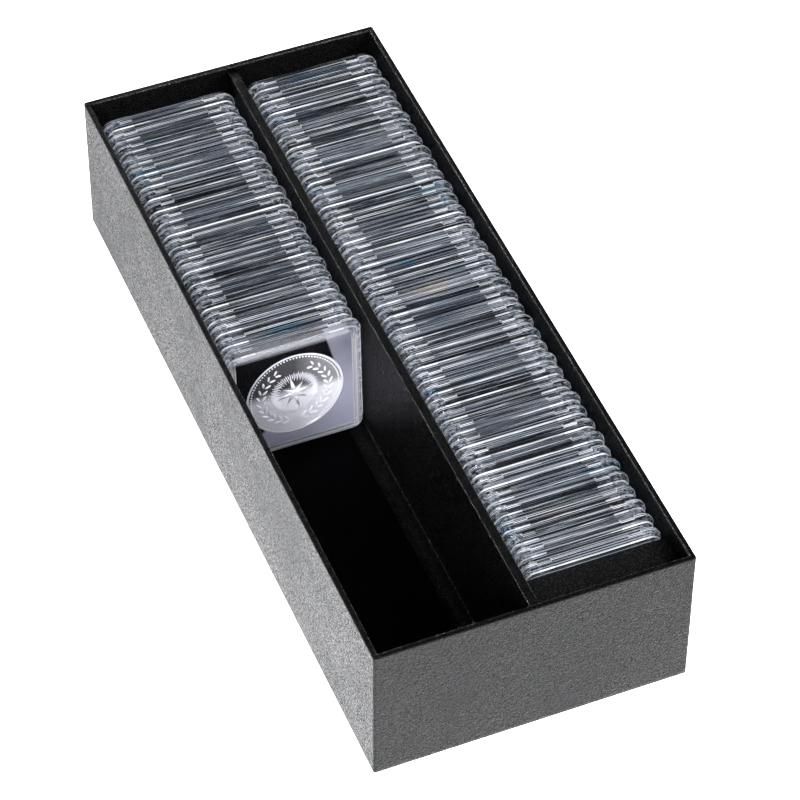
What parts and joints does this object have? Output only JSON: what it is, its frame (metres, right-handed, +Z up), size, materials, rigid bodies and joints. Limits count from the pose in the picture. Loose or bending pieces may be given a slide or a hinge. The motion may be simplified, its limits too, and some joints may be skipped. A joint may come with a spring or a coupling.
{
  "type": "coin display case",
  "caption": "Open two-row leatherette case that files square clear coin capsules on edge; capsules lift out, and the front one opens round its insert and coin.",
  "frame": {"origin": "middle of the underside", "axes": "+Z up, +X across the case to the right, +Y along the rows to the back"},
  "size_m": [0.115, 0.286, 0.06],
  "materials": {
    "leatherette": "satin",
    "grey_board": "matte",
    "base_paper": "matte",
    "floor_lining": "matte",
    "foam": "matte",
    "clear_plastic": "gloss",
    "insert_foam": "matte",
    "silver": "satin"
  },
  "bodies": {
    "case": {"base_sheet": "base_paper", "filler_card": "grey_board", "base_board": "grey_board", "left_wall_board": "grey_board", "right_wall_board": "grey_board", "front_wall_board": "grey_board", "back_wall_board": "grey_board", "outer_cover": "leatherette", "divider_board": "grey_board", "divider_cover": "leatherette", "left_floor_lining": "floor_lining", "right_floor_lining": "floor_lining"},
    "foam": {"foam_block": "foam"},
    "front_capsule": {"front_capsule_base": "clear_plastic", "front_capsule_insert": "insert_foam", "coin": "silver"},
    "front_lid": {"front_capsule_lid": "clear_plastic"},
    "left_01": {"left_capsule_01": "clear_plastic"},
    "left_02": {"left_capsule_02": "clear_plastic"},
    "left_03": {"left_capsule_03": "clear_plastic"},
    "left_04": {"left_capsule_04": "clear_plastic"},
    "left_05": {"left_capsule_05": "clear_plastic"},
    "left_06": {"left_capsule_06": "clear_plastic"},
    "left_07": {"left_capsule_07": "clear_plastic"},
    "left_08": {"left_capsule_08": "clear_plastic"},
    "left_09": {"left_capsule_09": "clear_plastic"},
    "left_10": {"left_capsule_10": "clear_plastic"},
    "left_11": {"left_capsule_11": "clear_plastic"},
    "left_12": {"left_capsule_12": "clear_plastic"},
    "left_13": {"left_capsule_13": "clear_plastic"},
    "left_14": {"left_capsule_14": "clear_plastic"},
    "left_15": {"left_capsule_15": "clear_plastic"},
    "left_16": {"left_capsule_16": "clear_plastic"},
    "left_17": {"left_capsule_17": "clear_plastic"},
    "left_18": {"left_capsule_18": "clear_plastic"},
    "left_19": {"left_capsule_19": "clear_plastic"},
    "right_01_02": {"right_capsules_01_02": "clear_plastic"},
    "right_03_04": {"right_capsules_03_04": "clear_plastic"},
    "right_05_06": {"right_capsules_05_06": "clear_plastic"},
    "right_07_08": {"right_capsules_07_08": "clear_plastic"},
    "right_09_10": {"right_capsules_09_10": "clear_plastic"},
    "right_11_12": {"right_capsules_11_12": "clear_plastic"},
    "right_13_14": {"right_capsules_13_14": "clear_plastic"},
    "right_15_16": {"right_capsules_15_16": "clear_plastic"},
    "right_17_18": {"right_capsules_17_18": "clear_plastic"},
    "right_19_20": {"right_capsules_19_20": "clear_plastic"},
    "right_21_22": {"right_capsules_21_22": "clear_plastic"},
    "right_23_24": {"right_capsules_23_24": "clear_plastic"},
    "right_25_26": {"right_capsules_25_26": "clear_plastic"},
    "right_27_28": {"right_capsules_27_28": "clear_plastic"},
    "right_29_30": {"right_capsules_29_30": "clear_plastic"},
    "right_31_32": {"right_capsules_31_32": "clear_plastic"},
    "right_33_34": {"right_capsules_33_34": "clear_plastic"},
    "right_35_36": {"right_capsules_35_36": "clear_plastic"},
    "right_37_38": {"right_capsules_37_38": "clear_plastic"},
    "right_39": {"right_capsules_39": "clear_plastic"}
  },
  "joints": [
    {"name": "foam_lift", "type": "slide", "parent": "case", "child": "foam", "axis": [0, 0, 1], "range_m": [0, 0.06]},
    {"name": "front_capsule_lift", "type": "slide", "parent": "case", "child": "front_capsule", "axis": [0, 0.0471, 0.9989], "range_m": [0, 0.06]},
    {"name": "front_lid_pull", "type": "slide", "parent": "front_capsule", "child": "front_lid", "axis": [0, -0.9989, 0.0471], "range_m": [0, 0.015]},
    {"name": "left_01_lift", "type": "slide", "parent": "case", "child": "left_01", "axis": [0, 0.0471, 0.9989], "range_m": [0, 0.06]},
    {"name": "left_02_lift", "type": "slide", "parent": "case", "child": "left_02", "axis": [0, 0.0471, 0.9989], "range_m": [0, 0.06]},
    {"name": "left_03_lift", "type": "slide", "parent": "case", "child": "left_03", "axis": [0, 0.0471, 0.9989], "range_m": [0, 0.06]},
    {"name": "left_04_lift", "type": "slide", "parent": "case", "child": "left_04", "axis": [0, 0.0471, 0.9989], "range_m": [0, 0.06]},
    {"name": "left_05_lift", "type": "slide", "parent": "case", "child": "left_05", "axis": [0, 0.0471, 0.9989], "range_m": [0, 0.06]},
    {"name": "left_06_lift", "type": "slide", "parent": "case", "child": "left_06", "axis": [0, 0.0471, 0.9989], "range_m": [0, 0.06]},
    {"name": "left_07_lift", "type": "slide", "parent": "case", "child": "left_07", "axis": [0, 0.0471, 0.9989], "range_m": [0, 0.06]},
    {"name": "left_08_lift", "type": "slide", "parent": "case", "child": "left_08", "axis": [0, 0.0471, 0.9989], "range_m": [0, 0.06]},
    {"name": "left_09_lift", "type": "slide", "parent": "case", "child": "left_09", "axis": [0, 0.0471, 0.9989], "range_m": [0, 0.06]},
    {"name": "left_10_lift", "type": "slide", "parent": "case", "child": "left_10", "axis": [0, 0.0471, 0.9989], "range_m": [0, 0.06]},
    {"name": "left_11_lift", "type": "slide", "parent": "case", "child": "left_11", "axis": [0, 0.0471, 0.9989], "range_m": [0, 0.06]},
    {"name": "left_12_lift", "type": "slide", "parent": "case", "child": "left_12", "axis": [0, 0.0471, 0.9989], "range_m": [0, 0.06]},
    {"name": "left_13_lift", "type": "slide", "parent": "case", "child": "left_13", "axis": [0, 0.0471, 0.9989], "range_m": [0, 0.06]},
    {"name": "left_14_lift", "type": "slide", "parent": "case", "child": "left_14", "axis": [0, 0.0471, 0.9989], "range_m": [0, 0.06]},
    {"name": "left_15_lift", "type": "slide", "parent": "case", "child": "left_15", "axis": [0, 0.0471, 0.9989], "range_m": [0, 0.06]},
    {"name": "left_16_lift", "type": "slide", "parent": "case", "child": "left_16", "axis": [0, 0.0471, 0.9989], "range_m": [0, 0.06]},
    {"name": "left_17_lift", "type": "slide", "parent": "case", "child": "left_17", "axis": [0, 0.0471, 0.9989], "range_m": [0, 0.06]},
    {"name": "left_18_lift", "type": "slide", "parent": "case", "child": "left_18", "axis": [0, 0.0471, 0.9989], "range_m": [0, 0.06]},
    {"name": "left_19_lift", "type": "slide", "parent": "case", "child": "left_19", "axis": [0, 0.0471, 0.9989], "range_m": [0, 0.06]},
    {"name": "right_01_02_lift", "type": "slide", "parent": "case", "child": "right_01_02", "axis": [0, 0.0471, 0.9989], "range_m": [0, 0.06]},
    {"name": "right_03_04_lift", "type": "slide", "parent": "case", "child": "right_03_04", "axis": [0, 0.0471, 0.9989], "range_m": [0, 0.06]},
    {"name": "right_05_06_lift", "type": "slide", "parent": "case", "child": "right_05_06", "axis": [0, 0.0471, 0.9989], "range_m": [0, 0.06]},
    {"name": "right_07_08_lift", "type": "slide", "parent": "case", "child": "right_07_08", "axis": [0, 0.0471, 0.9989], "range_m": [0, 0.06]},
    {"name": "right_09_10_lift", "type": "slide", "parent": "case", "child": "right_09_10", "axis": [0, 0.0471, 0.9989], "range_m": [0, 0.06]},
    {"name": "right_11_12_lift", "type": "slide", "parent": "case", "child": "right_11_12", "axis": [0, 0.0471, 0.9989], "range_m": [0, 0.06]},
    {"name": "right_13_14_lift", "type": "slide", "parent": "case", "child": "right_13_14", "axis": [0, 0.0471, 0.9989], "range_m": [0, 0.06]},
    {"name": "right_15_16_lift", "type": "slide", "parent": "case", "child": "right_15_16", "axis": [0, 0.0471, 0.9989], "range_m": [0, 0.06]},
    {"name": "right_17_18_lift", "type": "slide", "parent": "case", "child": "right_17_18", "axis": [0, 0.0471, 0.9989], "range_m": [0, 0.06]},
    {"name": "right_19_20_lift", "type": "slide", "parent": "case", "child": "right_19_20", "axis": [0, 0.0471, 0.9989], "range_m": [0, 0.06]},
    {"name": "right_21_22_lift", "type": "slide", "parent": "case", "child": "right_21_22", "axis": [0, 0.0471, 0.9989], "range_m": [0, 0.06]},
    {"name": "right_23_24_lift", "type": "slide", "parent": "case", "child": "right_23_24", "axis": [0, 0.0471, 0.9989], "range_m": [0, 0.06]},
    {"name": "right_25_26_lift", "type": "slide", "parent": "case", "child": "right_25_26", "axis": [0, 0.0471, 0.9989], "range_m": [0, 0.06]},
    {"name": "right_27_28_lift", "type": "slide", "parent": "case", "child": "right_27_28", "axis": [0, 0.0471, 0.9989], "range_m": [0, 0.06]},
    {"name": "right_29_30_lift", "type": "slide", "parent": "case", "child": "right_29_30", "axis": [0, 0.0471, 0.9989], "range_m": [0, 0.06]},
    {"name": "right_31_32_lift", "type": "slide", "parent": "case", "child": "right_31_32", "axis": [0, 0.0471, 0.9989], "range_m": [0, 0.06]},
    {"name": "right_33_34_lift", "type": "slide", "parent": "case", "child": "right_33_34", "axis": [0, 0.0471, 0.9989], "range_m": [0, 0.06]},
    {"name": "right_35_36_lift", "type": "slide", "parent": "case", "child": "right_35_36", "axis": [0, 0.0471, 0.9989], "range_m": [0, 0.06]},
    {"name": "right_37_38_lift", "type": "slide", "parent": "case", "child": "right_37_38", "axis": [0, 0.0471, 0.9989], "range_m": [0, 0.06]},
    {"name": "right_39_lift", "type": "slide", "parent": "case", "child": "right_39", "axis": [0, 0.0471, 0.9989], "range_m": [0, 0.06]}
  ]
}
